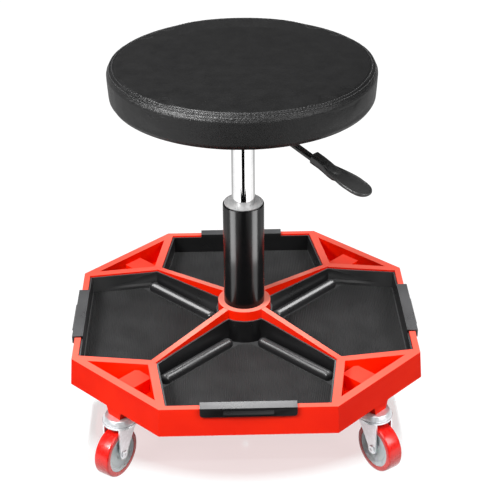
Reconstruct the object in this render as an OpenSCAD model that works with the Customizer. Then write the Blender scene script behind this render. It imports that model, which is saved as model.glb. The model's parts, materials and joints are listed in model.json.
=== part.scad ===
// Rolling mechanic's stool: round padded seat on a gas lift, octagonal tool tray on four casters.
// Origin on the floor below the centre, +Z up, the front of the tray towards -Y.

/* [Seat] */
// Widest diameter of the round cushion
seat_d = 310; // [290:1:330]
// Thickness of the cushion from its underside to its crown
seat_h = 43; // [40:1:60]
// Height of the cushion's underside above the floor
seat_z = 413; // [410:1:420]
// Diameter of the plywood seat board
board_d = 280; // [240:1:284]

/* [Gas lift] */
// Outside diameter of the outer column
column_d = 50; // [48:1:52]
// Height of the column's top edge above the floor
column_top = 275; // [265:1:276]
// Outside diameter of the chrome pressure cylinder
cylinder_d = 28; // [26:1:30]
// Diameter of the piston rod
rod_d = 10; // [8:1:10]

/* [Lever] */
// Diameter of the lever rod
lever_d = 8; // [6:1:8]
// Reach of the lever from the seat's centre line to the tip of its paddle
lever_reach = 189.5; // [180:0.5:200]
// Droop of the lever below the horizontal, in degrees
lever_droop = 15.5; // [12:0.5:17]
// Width of the paddle's blade
paddle_w = 29; // [24:1:34]

/* [Tool tray] */
// Width of the octagonal tray across its long sides, at the rim
tray_w = 415.4; // [410:0.2:420]
// Length of each of the four long sides
side_l = 201.8; // [198:0.2:206]
// Height of the rim above the floor
rim_z = 122; // [121:1:124]
// Depth of the outer skirt below the rim
skirt_h = 35; // [34:1:36]
// Outward lean of the skirt from rim to bottom edge
skirt_lean = 2.7; // [2:0.1:3]
// Width of a spoke between two compartments
spoke_w = 7.5; // [6:0.5:8]
// Height of the hub ring above the floor
hub_z = 140; // [136:1:142]

/* [Liners] */
// Wall and floor thickness of the lift-out liners
liner_t = 2; // [1.5:0.1:2.2]
// Length of the lip that hangs a liner over the rim
lip_l = 110; // [90:1:120]
// Thickness of the ribbed floor mats
mat_t = 1; // [0.8:0.1:1.2]

/* [Casters] */
// Distance of a caster's stem from the centre, along the diagonal
caster_rho = 212; // [210:1:213]
// Wheel diameter
wheel_d = 60; // [58:1:60]
// Width of the tyre
tyre_w = 19.4; // [18:0.2:19.4]
// Diameter of the pale wheel centre
core_d = 47; // [44:1:48]
// Distance of the axle behind the stem
trail = 12; // [10:1:14]
// Angle of a caster's rolling direction from the Y axis, in degrees
toe = 33; // [30:1:36]

/* [Hidden] */
$fn = 64;
fine = 96;
cut = 1;
gap = 0.3;
fit = 0.08;

corners = ["fl", "fr", "br", "bl"];
corner_turn = [0, 90, 180, 270];
sides = ["front", "right", "back", "left"];
side_turn = [0, 90, 180, 270];
CASTER_PARTS = ["fork", "axle", "wheel_core", "tyre"];

RED = [0.93, 0.16, 0.06];
BLACK = [0.09, 0.09, 0.1];
GREY = [0.2, 0.2, 0.21];
ZINC = [0.72, 0.73, 0.75];
CHROME = [0.86, 0.87, 0.89];
CORE = [0.8, 0.82, 0.82];
WOOD = [0.72, 0.56, 0.38];

// Tray outline
tray_a = tray_w / 2;
tray_b = side_l / 2;
tray_diag = (tray_a + tray_b) / sqrt(2);
skirt_z = rim_z - skirt_h;
side_rim = 7.5;
corner_rim = 10;
tray_floor_t = 3;
tray_floor = rim_z - 27;
tray_under = tray_floor - tray_floor_t;
inner_a = tray_a - side_rim;
inner_diag = tray_a + tray_b - corner_rim * sqrt(2);
hub_r = 32.6;
hub_under_r = 38;
column_fit = 0.05;

// Side walls of the four corner pockets, from a fork on each diagonal to the octagon's corners
fork_x = 112;
fork_end_x = 98;
pocket_wall = 9.8;
wall_run = norm([fork_x - fork_end_x, tray_a - fork_x]);
wall_n = [(tray_a - fork_x) / wall_run, (fork_x - fork_end_x) / wall_run];
wall_c = wall_n[0] * fork_x + wall_n[1] * fork_x;
spoke_run = fork_x * sqrt(2);
rib_t = 4;

// Caster bosses and the blocks over them
boss_w = 26;
boss_w_low = 19;
boss_z = 76.5;
boss_in = 190;
boss_out = tray_diag + skirt_lean;
block_in = 171;
block_z = rim_z - 9;
stem_r = 5;
stem_top = 106;

// Casters
wheel_r = wheel_d / 2;
core_r = core_d / 2;
crown_r = 21;
crown_z = 67;
crown_t = 2.5;
leg_in = 10.3;
leg_t = 1.9;
leg_out = leg_in + leg_t;
leg_foot_r = 6.5;
axle_r = 3;
cup_z = crown_z + crown_t + gap;
cup_t = 2;
ball_ring_r = 11;
ball_r = 2.3;
ball_count = 10;

// Liners
liner_gap = 0.4;
liner_z = tray_floor + 0.2;
liner_rim = rim_z - 2;
liner_hub_rim = rim_z + 5.5;
rim_bend_y = fork_x + 6;
ridge_r = 7;
ridge_z = liner_z + liner_t + 4;
ridge_off = 14.5;
ridge_from = 46;
ridge_to = 150;
lip_z = rim_z + gap;
lip_drop = 11.6;
lip_out = tray_a + 1.2;
flap_corner = 3.5;
tab_l = 57;
tab_out = 2.4;
tab_top = 2;
tab_low = 7;
tab_edge = 1.2;
mat_gap = 1;
mat_off = ridge_off + ridge_r + 0.8;
mat_front = 40;

// Gas lift
column_r = column_d / 2;
column_wall = 1.8;
column_z = tray_under;
lip_r = 4;
bushing_l = 42;
bushing_neck_r = 20.9;
bushing_flange_r = 23.4;
bushing_flange_t = 1.2;
bushing_top = column_top + bushing_flange_t;
cylinder_r = cylinder_d / 2;
cylinder_wall = 2;
cylinder_z = 200;
cylinder_top = 388;
taper_z = 374;
taper_r = 13;
rod_r = rod_d / 2;
journal_r = 4;
journal_end = 4;
race_r = 14;
race_t = 2;
race_gap = 4;
race_z = column_z;
shoulder_z = race_z + 2 * race_t + race_gap;
piston_z = 239;
piston_h = 12;
plate_r = 35;
plate_t = 3.5;
plate_z = tray_under - plate_t;
screw_ring = 29;
screw_r = 1.6;
screw_hole_l = 24;
clip_t = 1.2;
valve_r = 3;
valve_top = 392.8;
valve_l = 17;

// Seat fixing and lever
seat_plate_t = 2.5;
seat_plate_w = 160;
seat_hole = 60;
seat_screw_r = 3;
bracket_w = 14;
bracket_t = 2.5;
bracket_in = 32;
bracket_out = 42;
web_z = 382;
web_t = 3;
web_out = 19.5;
socket_r = 18;
socket_top = cylinder_top - 1.5;
lever_axis_z = 398;
pivot_x = 28;
pivot_z = lever_axis_z - pivot_x * tan(lever_droop);
pivot_r = 3;
sleeve_r = 7;
sleeve_l = 22;
paddle_from = 105;
paddle_socket_l = 20;
paddle_t = 5.5;
blade_wide = 146;
neck_w = 13.5;
neck_l = 34;
board_t = 12;
board_z = seat_z + 1.2;
crown_flat_r = 110;
crown_drop = 3.1;
seam_r = seat_d / 2 - 4.5;
seat_edge_drop = 9;
seat_foot_r = seat_d / 2 - 5.5;

// ---- Plan shapes -------------------------------------------------------------------------

module octagon(a, b) {
    polygon([[a, b], [b, a], [-b, a], [-a, b], [-a, -b], [-b, -a], [b, -a], [a, -b]]);
}

// The front compartment seen from above, drawn c inside its walls and off from the spokes' lines
module compartment(c, off) {
    k = off * sqrt(2);
    m = wall_c - pocket_wall / 2 - c;
    y_wall = inner_a - c;
    x_fork = (m - wall_n[1] * k) / (wall_n[0] + wall_n[1]);
    x_wall = (m - wall_n[1] * y_wall) / wall_n[0];
    polygon([[0, -k], [x_fork, -x_fork - k], [x_wall, -y_wall], [-x_wall, -y_wall], [-x_fork, -x_fork - k]]);
}

module liner_plan(c) {
    difference() {
        compartment(c, spoke_w / 2 + c);
        circle(r = hub_r + c, $fn = fine);
    }
}

// The three-cornered pocket on the front left diagonal
module pocket() {
    m = wall_c + pocket_wall / 2;
    x_in = m / (wall_n[0] + wall_n[1]);
    x_out = (m - wall_n[1] * inner_diag) / (wall_n[0] - wall_n[1]);
    polygon([[-x_in, -x_in], [-x_out, x_out - inner_diag], [x_out - inner_diag, -x_out]]);
}

module all_ways() {
    for (turn = side_turn) rotate(turn) children();
}

// A bar seen from above that runs out along the front left diagonal
module diagonal_bar(from, to, w) {
    rotate(225) translate([from, -w / 2]) square([to - from, w]);
}

module pocket_wall_bar(w) {
    for (flip = [0, 1]) mirror([flip, -flip, 0]) {
        polygon([[-fork_x - w / 2, -fork_x], [-fork_x + w / 2, -fork_x], [-fork_end_x + w / 2, -tray_a],
            [-fork_end_x - w / 2, -tray_a]]);
    }
}

// ---- Tray --------------------------------------------------------------------------------

// A slab standing across the tray, its two long faces leaning outwards towards the bottom
module leaning_slab(half, turn) {
    rotate([0, 0, turn]) rotate([90, 0, 0]) linear_extrude(2 * tray_w, center = true)
        polygon([[-half - skirt_lean, skirt_z], [half + skirt_lean, skirt_z], [half, rim_z], [-half, rim_z]]);
}

module skirt_body() {
    intersection() {
        leaning_slab(tray_a, 0);
        leaning_slab(tray_a, 90);
        leaning_slab(tray_diag, 45);
        leaning_slab(tray_diag, 135);
    }
}

module caster_boss() {
    rotate([90, 0, 135]) translate([0, 0, boss_in]) {
        linear_extrude(boss_out - boss_in - 0.1) polygon([[-boss_w_low / 2, boss_z], [boss_w_low / 2, boss_z],
            [boss_w / 2, skirt_z + 1], [-boss_w / 2, skirt_z + 1]]);
        translate([-boss_w / 2, skirt_z + 0.5, 0]) cube([boss_w, tray_floor - skirt_z, boss_out - boss_in - 5]);
    }
}

module raised_spoke() {
    rotate([0, 0, 225]) rotate([90, 0, 0]) linear_extrude(spoke_w, center = true)
        polygon([[hub_r - 2, tray_floor - 1], [hub_r - 2, hub_z], [spoke_run + 2, rim_z - 0.3],
            [spoke_run + 2, tray_floor - 1]]);
}

module tray_hollows() {
    all_ways() {
        translate([0, 0, tray_floor]) linear_extrude(hub_z) compartment(0, -1);
        difference() {
            translate([0, 0, tray_floor]) linear_extrude(hub_z) pocket();
            translate([0, 0, tray_floor - cut]) linear_extrude(block_z - tray_floor + cut)
                diagonal_bar(block_in, boss_out, boss_w);
        }
    }
    translate([0, 0, skirt_z - cut]) linear_extrude(tray_under - skirt_z + cut) difference() {
        octagon(tray_a - 4, tray_b - 2);
        circle(r = hub_under_r, $fn = fine);
        all_ways() {
            diagonal_bar(0, spoke_run, rib_t);
            pocket_wall_bar(rib_t);
            diagonal_bar(boss_in, boss_out, boss_w);
        }
    }
}

module tray_base() {
    color(RED) difference() {
        union() {
            difference() {
                skirt_body();
                tray_hollows();
            }
            all_ways() {
                raised_spoke();
                caster_boss();
            }
            translate([0, 0, tray_under + 1]) cylinder(r = hub_r, h = hub_z - tray_under - 1, $fn = fine);
        }
        translate([0, 0, tray_under - cut]) cylinder(r = column_r + column_fit, h = hub_z, $fn = fine);
        translate([0, 0, skirt_z - cut]) cylinder(r = plate_r + gap, h = tray_under - skirt_z + cut, $fn = fine);
        all_ways() rotate(45) translate([screw_ring, 0, tray_under - cut]) cylinder(r = screw_r, h = screw_hole_l);
        all_ways() rotate(225) translate([caster_rho, 0, boss_z - cut])
            cylinder(r = stem_r, h = stem_top - boss_z + cut);
    }
}

// ---- Gas lift ----------------------------------------------------------------------------

module column_tube() {
    color(BLACK) rotate_extrude($fn = fine) polygon(concat(
        [[column_r - column_wall, column_z], [column_r, column_z]],
        [for (a = [0:15:90]) [column_r - lip_r + lip_r * cos(a), column_top - lip_r + lip_r * sin(a)]],
        [[column_r - lip_r, column_top - column_wall]],
        [for (a = [60:-30:0]) [column_r - lip_r + (lip_r - column_wall) * cos(a),
            column_top - lip_r + (lip_r - column_wall) * sin(a)]]));
}

module column_bushing() {
    notches = 24;
    notch_l = 1.8;
    notch_w = 2.6;
    neck_z = column_top - lip_r;
    bushing_z = neck_z - bushing_l;
    color(GREY) difference() {
        union() {
            translate([0, 0, bushing_z])
                cylinder(r = column_r - column_wall - column_fit, h = bushing_l, $fn = fine);
            translate([0, 0, neck_z - cut])
                cylinder(r = bushing_neck_r, h = bushing_top - neck_z + cut, $fn = fine);
            translate([0, 0, column_top]) cylinder(r = bushing_flange_r, h = bushing_flange_t, $fn = fine);
        }
        translate([0, 0, bushing_z - cut])
            cylinder(r = cylinder_r + fit, h = bushing_top - bushing_z + 2 * cut, $fn = fine);
        for (i = [1:notches]) rotate(i * 360 / notches)
            translate([bushing_flange_r - 1 - notch_l, -notch_w / 2, bushing_top - bushing_flange_t / 2])
                cube([notch_l, notch_w, bushing_flange_t]);
    }
}

module base_plate() {
    color(ZINC) difference() {
        translate([0, 0, plate_z]) cylinder(r = plate_r, h = plate_t, $fn = fine);
        translate([0, 0, plate_z - cut]) cylinder(r = journal_r + fit, h = plate_t + 2 * cut);
        all_ways() rotate(45) translate([screw_ring, 0, plate_z - cut])
            cylinder(r = screw_r + 2 * gap, h = plate_t + 2 * cut);
    }
}

module plate_screws() {
    head_r = 3.6;
    head_h = 2.5;
    shank = 22;
    color(ZINC) all_ways() rotate(45) translate([screw_ring, 0, plate_z]) {
        translate([0, 0, -head_h]) cylinder(r = head_r, h = head_h);
        translate([0, 0, -cut / 2]) cylinder(r = screw_r, h = shank);
    }
}

module race(z, bore) {
    color(CHROME) difference() {
        translate([0, 0, z]) cylinder(r = race_r, h = race_t);
        translate([0, 0, z - cut]) cylinder(r = bore, h = race_t + 2 * cut);
    }
}

module thrust_race_lower() { race(race_z, journal_r + 1); }

module thrust_balls() {
    thrust_ball_r = (race_gap - gap) / 2;
    balls = 8;
    ring_r = 10;
    color(CHROME) for (i = [1:balls]) rotate(i * 360 / balls)
        translate([ring_r, 0, race_z + race_t + thrust_ball_r]) sphere(r = thrust_ball_r, $fn = 32);
}

module thrust_race_upper() { race(shoulder_z - race_t, journal_r); }

module piston_rod() {
    color(CHROME) {
        translate([0, 0, plate_z - journal_end]) cylinder(r = journal_r, h = shoulder_z - plate_z + journal_end + 0.5);
        translate([0, 0, shoulder_z]) cylinder(r = rod_r, h = piston_z - shoulder_z);
    }
}

module piston() {
    color(GREY) translate([0, 0, piston_z]) cylinder(r = cylinder_r - cylinder_wall - 0.3, h = piston_h);
}

module rod_clip() {
    clip_r = 8;
    mouth = 4;
    clip_z = plate_z - gap - clip_t;
    color(ZINC) difference() {
        translate([0, 0, clip_z]) cylinder(r = clip_r, h = clip_t);
        translate([0, 0, clip_z - cut]) cylinder(r = journal_r, h = clip_t + 2 * cut);
        translate([-clip_r - cut, -mouth / 2, clip_z - cut]) cube([clip_r + cut, mouth, clip_t + 2 * cut]);
    }
}

module gas_cylinder() {
    guide_h = 14;
    top_wall = 20;
    color(CHROME) difference() {
        union() {
            translate([0, 0, cylinder_z]) cylinder(r = cylinder_r, h = taper_z - cylinder_z, $fn = fine);
            translate([0, 0, taper_z]) cylinder(r = taper_r, h = cylinder_top - taper_z, $fn = fine);
        }
        translate([0, 0, cylinder_z - cut])
            cylinder(r = cylinder_r - cylinder_wall, h = guide_h + cut, $fn = fine);
        translate([0, 0, cylinder_z + guide_h - cut])
            cylinder(r = cylinder_r - cylinder_wall, h = cylinder_top - top_wall - cylinder_z - guide_h + cut);
        translate([0, 0, valve_top - valve_l - 5]) cylinder(r = valve_r + gap, h = valve_l + 10);
    }
}

module rod_guide() {
    guide_l = 12;
    color(GREY) difference() {
        translate([0, 0, cylinder_z]) cylinder(r = cylinder_r - cylinder_wall, h = guide_l);
        translate([0, 0, cylinder_z - cut]) cylinder(r = rod_r + fit, h = guide_l + 2 * cut);
    }
}

module valve_pin() {
    color(ZINC) translate([0, 0, valve_top - valve_l]) cylinder(r = valve_r, h = valve_l);
}

// ---- Seat fixing -------------------------------------------------------------------------

module taper_socket() {
    color(ZINC) difference() {
        translate([0, 0, taper_z]) cylinder(r = socket_r, h = socket_top - taper_z, $fn = fine);
        translate([0, 0, taper_z - cut]) cylinder(r = taper_r, h = socket_top - taper_z + 2 * cut, $fn = fine);
    }
}

// A channel welded under the seat plate, in line with the lever
module lever_bracket() {
    side_h = seat_z - seat_plate_t - web_z;
    color(ZINC) rotate(-45) difference() {
        union() {
            for (s = [-1, 1]) translate([-bracket_in, s * (bracket_w - bracket_t / 2) - bracket_t / 2, web_z])
                cube([bracket_in + bracket_out, bracket_t, side_h]);
            translate([-bracket_in, -bracket_w, web_z]) cube([bracket_in + web_out, 2 * bracket_w, web_t]);
            translate([0, 0, web_z]) cylinder(r = socket_r + 3, h = web_t);
        }
        translate([0, 0, web_z - cut]) cylinder(r = socket_r, h = cylinder_top - web_z + cut);
        translate([pivot_x, 0, pivot_z]) rotate([90, 0, 0]) cylinder(r = pivot_r, h = 4 * bracket_w, center = true);
    }
}

module lever_pivot_pin() {
    pin_l = 2 * bracket_w + 3;
    head_r = 4.5;
    head_h = 1.4;
    color(ZINC) rotate(-45) translate([pivot_x, 0, pivot_z]) rotate([90, 0, 0]) {
        cylinder(r = pivot_r, h = pin_l, center = true);
        for (s = [-1, 1]) translate([0, 0, s * (pin_l - head_h) / 2]) cylinder(r = head_r, h = head_h, center = true);
    }
}

module seat_plate() {
    half = seat_plate_w / 2;
    corner = 16;
    color(ZINC) difference() {
        translate([0, 0, seat_z - seat_plate_t]) linear_extrude(seat_plate_t)
            polygon([[half, half - corner], [half - corner, half], [corner - half, half], [-half, half - corner],
                [-half, corner - half], [corner - half, -half], [half - corner, -half], [half, corner - half]]);
        for (x = [-1, 1]) for (y = [-1, 1]) translate([x * seat_hole, y * seat_hole, seat_z - seat_plate_t - cut])
            cylinder(r = seat_screw_r + 0.3, h = seat_plate_t + 2 * cut);
    }
}

module seat_screws() {
    head_r = 5;
    head_h = 4;
    shank = 14;
    color(ZINC) for (x = [-1, 1]) for (y = [-1, 1]) translate([x * seat_hole, y * seat_hole, 0]) {
        translate([0, 0, seat_z - seat_plate_t - head_h]) cylinder(r = head_r, h = head_h, $fn = 6);
        translate([0, 0, seat_z - seat_plate_t - cut / 2]) cylinder(r = seat_screw_r, h = shank);
    }
}

module seat_screw_holes(r) {
    for (x = [-1, 1]) for (y = [-1, 1]) translate([x * seat_hole, y * seat_hole, seat_z - cut])
        cylinder(r = r, h = board_t + cut - 0.5);
}

module seat_board() {
    color(WOOD) difference() {
        translate([0, 0, board_z]) cylinder(d = board_d, h = board_t, $fn = fine);
        seat_screw_holes(seat_screw_r);
    }
}

module dust_cover() {
    color(BLACK) difference() {
        translate([0, 0, seat_z]) cylinder(d = board_d, h = board_z - seat_z, $fn = fine);
        seat_screw_holes(seat_screw_r);
    }
}

module seat_cushion() {
    edge_r = seat_d / 2;
    crown = seat_z + seat_h;
    color(BLACK) difference() {
        rotate_extrude($fn = fine) polygon([[0, seat_z], [seat_foot_r, seat_z], [seat_foot_r + 3.9, seat_z + 4],
            [edge_r - 0.7, seat_z + 14], [edge_r, crown - seat_edge_drop - 2], [edge_r - 1, crown - seat_edge_drop + 3],
            [seam_r, crown - crown_drop - 0.8], [seam_r - 8, crown - crown_drop + 0.9], [crown_flat_r, crown],
            [0, crown]]);
        translate([0, 0, seat_z - cut]) cylinder(d = board_d + 0.2, h = board_z - seat_z + board_t + cut, $fn = fine);
    }
}

// ---- Height lever ------------------------------------------------------------------------

// Puts its children on the lever's own axis: +X out along the rod, at the pivot
module on_lever() {
    rotate(-45) translate([pivot_x, 0, pivot_z]) rotate([0, lever_droop, 0]) children();
}

module lever_rod() {
    rod_in = pivot_x / cos(lever_droop) + 3;
    color(BLACK) on_lever() difference() {
        union() {
            translate([-rod_in, 0, 0]) rotate([0, 90, 0]) cylinder(d = lever_d, h = rod_in + paddle_from);
            rotate([90, 0, 0]) cylinder(r = sleeve_r, h = sleeve_l, center = true);
        }
        rotate([90, 0, 0]) cylinder(r = pivot_r + fit, h = sleeve_l + 2 * cut, center = true);
    }
}

module lever_paddle() {
    out = (lever_reach - pivot_x) / cos(lever_droop);
    end_r = paddle_w / 2;
    neck_from = paddle_from - paddle_socket_l;
    color(BLACK) on_lever() difference() {
        union() {
            translate([neck_from, 0, 0]) rotate([0, 90, 0]) cylinder(r = neck_w / 2, h = neck_l, $fn = 32);
            hull() {
                translate([neck_from + neck_l / 2, 0, -neck_w / 4]) rotate([0, 90, 0])
                    cylinder(r = neck_w / 3, h = neck_l / 2, $fn = 32);
                for (x = [blade_wide, out]) translate([x - end_r, 0, -paddle_t / 2])
                    cylinder(r = end_r, h = paddle_t, $fn = 32);
            }
        }
        translate([neck_from - cut, 0, 0]) rotate([0, 90, 0])
            cylinder(d = lever_d, h = paddle_socket_l + cut);
    }
}

// ---- Casters -----------------------------------------------------------------------------

// Puts its children at one caster: its stem on the Z axis, its wheel behind it along +X
module at_caster(i) {
    flip = (i == 1 || i == 2) ? 1 : 0;
    turn = (i < 2) ? 270 - toe : 90 + toe;
    mirror([flip, 0, 0]) translate([-caster_rho / sqrt(2), (i < 2 ? -1 : 1) * caster_rho / sqrt(2), 0])
        rotate(turn) children();
}

module caster_stems() {
    head_r = 8;
    head_h = 3;
    color(ZINC) for (i = [0:3]) at_caster(i) translate([0, 0, crown_z - head_h]) {
        cylinder(r = stem_r, h = stem_top - crown_z + head_h);
        cylinder(r = head_r, h = head_h - gap);
    }
}

// The fixed upper half of each swivel bearing, pressed against its boss
module swivel_cups() {
    color(ZINC) for (i = [0:3]) at_caster(i) rotate_extrude()
        polygon([[stem_r, boss_z - cup_t], [14, boss_z - cup_t], [16, cup_z + 2.5], [19.5, cup_z],
            [crown_r - 0.6, cup_z], [crown_r - 0.8, cup_z + 1.6], [17.4, boss_z - 0.4], [16.4, boss_z],
            [stem_r, boss_z]]);
}

module swivel_balls() {
    color(CHROME) for (i = [0:3]) at_caster(i) for (k = [0:ball_count - 1]) rotate(k * 360 / ball_count)
        translate([ball_ring_r, 0, boss_z - cup_t - ball_r]) sphere(r = ball_r, $fn = 24);
}

module fork(i) {
    leg_top = 17;
    color(ZINC) at_caster(i) difference() {
        union() {
            translate([0, 0, crown_z]) cylinder(r = crown_r, h = crown_t);
            for (s = [-1, 1]) translate([0, s * (leg_in + leg_t / 2), 0]) rotate([90, 0, 0])
                linear_extrude(leg_t, center = true) {
                    polygon([[-leg_top, crown_z + crown_t / 2], [-leg_top, crown_z - 4], [trail - leg_foot_r, wheel_r],
                        [trail + leg_foot_r, wheel_r], [leg_top + 1, crown_z - 4], [leg_top, crown_z + crown_t / 2]]);
                    translate([trail, wheel_r]) circle(r = leg_foot_r);
                }
        }
        translate([0, 0, crown_z - cut]) cylinder(r = stem_r + fit, h = crown_t + 2 * cut);
        translate([trail, 0, wheel_r]) rotate([90, 0, 0]) cylinder(r = axle_r, h = 4 * leg_out, center = true);
    }
}

module axle(i) {
    head_t = 1.8;
    head_r = 4.6;
    dimple_r = 2;
    color(ZINC) at_caster(i) translate([trail, 0, wheel_r]) rotate([90, 0, 0]) difference() {
        union() {
            cylinder(r = axle_r, h = 2 * leg_out, center = true);
            for (s = [-1, 1]) translate([0, 0, s * (leg_out + head_t / 2)])
                cylinder(r = head_r, h = head_t, center = true);
        }
        for (s = [-1, 1]) translate([0, 0, s * (leg_out + head_t)]) cylinder(r = dimple_r, h = head_t, center = true);
    }
}

module wheel_core(i) {
    dish = 2.2;
    rim_in = core_r - 2.2;
    hub_in = 8;
    half = tyre_w / 2 - 0.8;
    color(CORE) at_caster(i) translate([trail, 0, wheel_r]) rotate([90, 0, 0]) rotate_extrude()
        polygon([[axle_r + fit, -leg_in + gap], [hub_in - 2, -leg_in + gap], [hub_in, dish - half], [rim_in, dish - half],
            [rim_in + 1, -half], [core_r, -half], [core_r, half], [rim_in + 1, half], [rim_in, half - dish],
            [hub_in, half - dish], [hub_in - 2, leg_in - gap], [axle_r + fit, leg_in - gap]]);
}

module tyre(i) {
    half = tyre_w / 2;
    round_r = 3;
    color(RED) at_caster(i) translate([trail, 0, wheel_r]) rotate([90, 0, 0]) rotate_extrude($fn = fine)
        polygon(concat([[core_r, -half], [wheel_r - round_r, -half]],
            [for (a = [-60:30:0]) [wheel_r - round_r + round_r * cos(a), round_r - half + round_r * sin(a)]],
            [for (a = [0:30:60]) [wheel_r - round_r + round_r * cos(a), half - round_r + round_r * sin(a)]],
            [[wheel_r - round_r, half], [core_r, half]]));
}

// ---- Liners ------------------------------------------------------------------------------

module ridge() {
    for (flip = [0, 1]) mirror([flip, 0, 0]) rotate(-45) {
        translate([ridge_from, -ridge_off, ridge_z]) rotate([0, 90, 0]) cylinder(r = ridge_r, h = ridge_to - ridge_from);
        for (x = [ridge_from, ridge_to]) translate([x, -ridge_off, ridge_z]) sphere(r = ridge_r, $fn = 48);
    }
}

module lip() {
    back = inner_a - liner_gap - liner_t;
    flap_z = lip_z + liner_t - lip_drop;
    translate([-lip_l / 2, 0, 0]) {
        translate([0, -lip_out - liner_t, lip_z]) cube([lip_l, lip_out + liner_t - back, liner_t]);
        translate([0, -lip_out, flap_z]) rotate([90, 0, 0]) linear_extrude(liner_t) hull() {
            translate([0, flap_corner]) square([lip_l, lip_drop - flap_corner]);
            for (x = [flap_corner, lip_l - flap_corner]) translate([x, flap_corner]) circle(r = flap_corner);
        }
        translate([0, -back - liner_t, liner_rim - cut]) cube([lip_l, liner_t, lip_z - liner_rim + 2 * cut]);
    }
    translate([-tab_l / 2, -lip_out - liner_t, lip_z + liner_t]) rotate([90, 0, 90]) linear_extrude(tab_l)
        polygon([[cut, -tab_top], [-tab_out, -tab_low], [-tab_out, -tab_low - tab_edge], [cut, -tab_low - 2 * tab_edge]]);
}

module liner() {
    color(BLACK) {
        difference() {
            intersection() {
                translate([0, 0, liner_z]) linear_extrude(60) liner_plan(liner_gap);
                rotate([90, 0, 90]) linear_extrude(tray_w, center = true)
                    polygon([[-tray_a, liner_z], [-tray_a, liner_rim], [-rim_bend_y, liner_rim],
                        [-hub_r, liner_hub_rim], [0, liner_hub_rim], [0, liner_z]]);
            }
            translate([0, 0, liner_z + liner_t]) linear_extrude(60) liner_plan(liner_gap + liner_t);
        }
        intersection() {
            ridge();
            translate([0, 0, liner_z + liner_t - 0.5]) linear_extrude(30) liner_plan(liner_gap + liner_t / 2);
        }
        lip();
    }
}

module mat() {
    color(GREY) translate([0, 0, liner_z + liner_t]) linear_extrude(mat_t) difference() {
        compartment(liner_gap + liner_t + mat_gap, mat_off);
        translate([-mat_front, -mat_front]) square(2 * mat_front);
    }
}

tray_base();
column_tube();
column_bushing();
base_plate();
plate_screws();
thrust_race_lower();
thrust_balls();
thrust_race_upper();
piston_rod();
piston();
rod_clip();
gas_cylinder();
rod_guide();
valve_pin();
taper_socket();
lever_bracket();
seat_plate();
seat_screws();
seat_board();
dust_cover();
seat_cushion();
lever_pivot_pin();
lever_rod();
lever_paddle();
caster_stems();
swivel_cups();
swivel_balls();
for (i = [0:3]) {
    rotate(side_turn[i]) liner();
    rotate(side_turn[i]) mat();
    fork(i);
    axle(i);
    wheel_core(i);
    tyre(i);
}
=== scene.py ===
import json
import math
import random

import bmesh
import bpy
import numpy as np
from mathutils import Matrix, Vector
from mathutils.bvhtree import BVHTree

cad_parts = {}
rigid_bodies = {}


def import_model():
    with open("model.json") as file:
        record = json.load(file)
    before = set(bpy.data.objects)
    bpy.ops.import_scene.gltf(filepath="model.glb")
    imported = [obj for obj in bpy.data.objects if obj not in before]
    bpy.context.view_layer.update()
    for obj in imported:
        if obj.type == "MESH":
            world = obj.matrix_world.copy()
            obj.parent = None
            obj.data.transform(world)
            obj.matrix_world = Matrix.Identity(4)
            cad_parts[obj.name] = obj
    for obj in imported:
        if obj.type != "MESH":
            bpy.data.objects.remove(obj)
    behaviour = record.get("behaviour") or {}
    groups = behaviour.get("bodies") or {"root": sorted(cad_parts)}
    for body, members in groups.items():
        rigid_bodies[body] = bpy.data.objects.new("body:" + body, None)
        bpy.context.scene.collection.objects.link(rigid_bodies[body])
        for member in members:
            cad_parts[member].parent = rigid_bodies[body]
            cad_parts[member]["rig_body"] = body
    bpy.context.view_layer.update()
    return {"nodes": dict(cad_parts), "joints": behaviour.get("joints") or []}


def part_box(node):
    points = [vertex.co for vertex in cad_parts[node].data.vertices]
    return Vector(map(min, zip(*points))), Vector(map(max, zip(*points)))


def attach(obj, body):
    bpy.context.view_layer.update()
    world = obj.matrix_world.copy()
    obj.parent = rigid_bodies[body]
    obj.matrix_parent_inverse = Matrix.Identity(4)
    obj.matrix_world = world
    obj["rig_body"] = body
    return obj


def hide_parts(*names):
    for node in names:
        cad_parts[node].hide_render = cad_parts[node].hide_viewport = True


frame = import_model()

MM = 0.001
scene = bpy.context.scene
JOINTS = {j["name"]: j for j in frame["joints"]}
CORNERS = ("fl", "fr", "br", "bl")
LARGE_FLAT = 300 * MM * MM
SIDES = ("front", "right", "back", "left")


# ---- Where things are ----------------------------------------------------------------------

def low(node):
    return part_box(node)[0]


def high(node):
    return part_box(node)[1]


def radius_of(node):
    lo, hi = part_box(node)
    return (hi.x - lo.x) / 2


def points_of(node):
    mesh = frame["nodes"][node].data
    co = np.zeros(len(mesh.vertices) * 3)
    mesh.vertices.foreach_get("co", co)
    return co.reshape(-1, 3)


def axis_frame(origin, z_axis, x_hint):
    """Matrix whose Z is z_axis and whose X is as near x_hint as it can be"""
    z = Vector(z_axis).normalized()
    y = z.cross(Vector(x_hint)).normalized()
    x = y.cross(z)
    turn = Matrix((x, y, z)).transposed().to_4x4()
    return Matrix.Translation(Vector(origin)) @ turn


def extents(node, place):
    """A node's lowest and highest corner in the axes of place, and its largest radius about their Z"""
    points = points_of(node)
    local = np.c_[points, np.ones(len(points))] @ np.array(place.inverted()).T
    return local[:, :3].min(0), local[:, :3].max(0), np.hypot(local[:, 0], local[:, 1]).max()


# ---- Materials -----------------------------------------------------------------------------

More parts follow.
